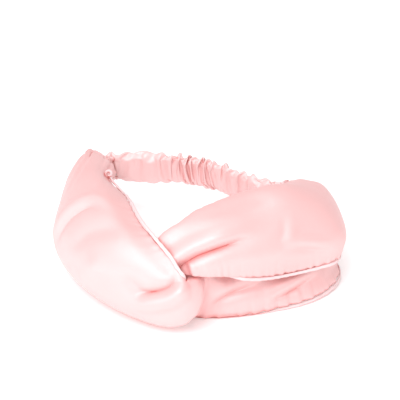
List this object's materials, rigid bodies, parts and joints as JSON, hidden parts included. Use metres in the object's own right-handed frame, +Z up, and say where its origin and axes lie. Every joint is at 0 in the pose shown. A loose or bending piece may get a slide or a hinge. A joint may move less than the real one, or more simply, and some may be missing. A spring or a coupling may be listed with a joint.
{
  "type": "knotted headband",
  "caption": "Soft satin headband of two wide piped strips hooked round each other at the front, closed at the back by a gathered casing over elastic that stretches to fit the head.",
  "frame": {"origin": "centre of the bounding box in plan, at the level that the band stands on", "axes": "+Z up through the head opening, +X from ear to ear towards the strip whose outer leg is the upper one, -Y the front, where the knot is"},
  "size_m": [0.1954, 0.1774, 0.0728],
  "materials": {
    "satin": "satin",
    "piping": "satin",
    "interlining": "matte",
    "elastic": "matte",
    "thread": "satin"
  },
  "bodies": {
    "left_half": {"left_strip_face": "satin", "left_strip_lining": "satin", "left_outer_interlining": "interlining", "left_inner_interlining": "interlining", "left_top_piping": "piping", "left_bottom_piping": "piping", "left_seam_stitches": "thread", "left_elastic_bartack": "thread", "elastic": "elastic", "elastic_casing": "satin"},
    "right_half": {"right_strip_face": "satin", "right_strip_lining": "satin", "right_outer_interlining": "interlining", "right_inner_interlining": "interlining", "right_top_piping": "piping", "right_bottom_piping": "piping", "right_seam_stitches": "thread", "right_elastic_bartack": "thread"}
  },
  "joints": [
    {"name": "elastic_stretch", "type": "hinge", "parent": "left_half", "child": "right_half", "pos_m": [0.0044, -0.071, 0.03], "axis": [0, 0, -1], "range_deg": [0, 20], "stiffness_Nm_per_rad": 0.8, "deforming": ["elastic", "elastic_casing"]}
  ]
}
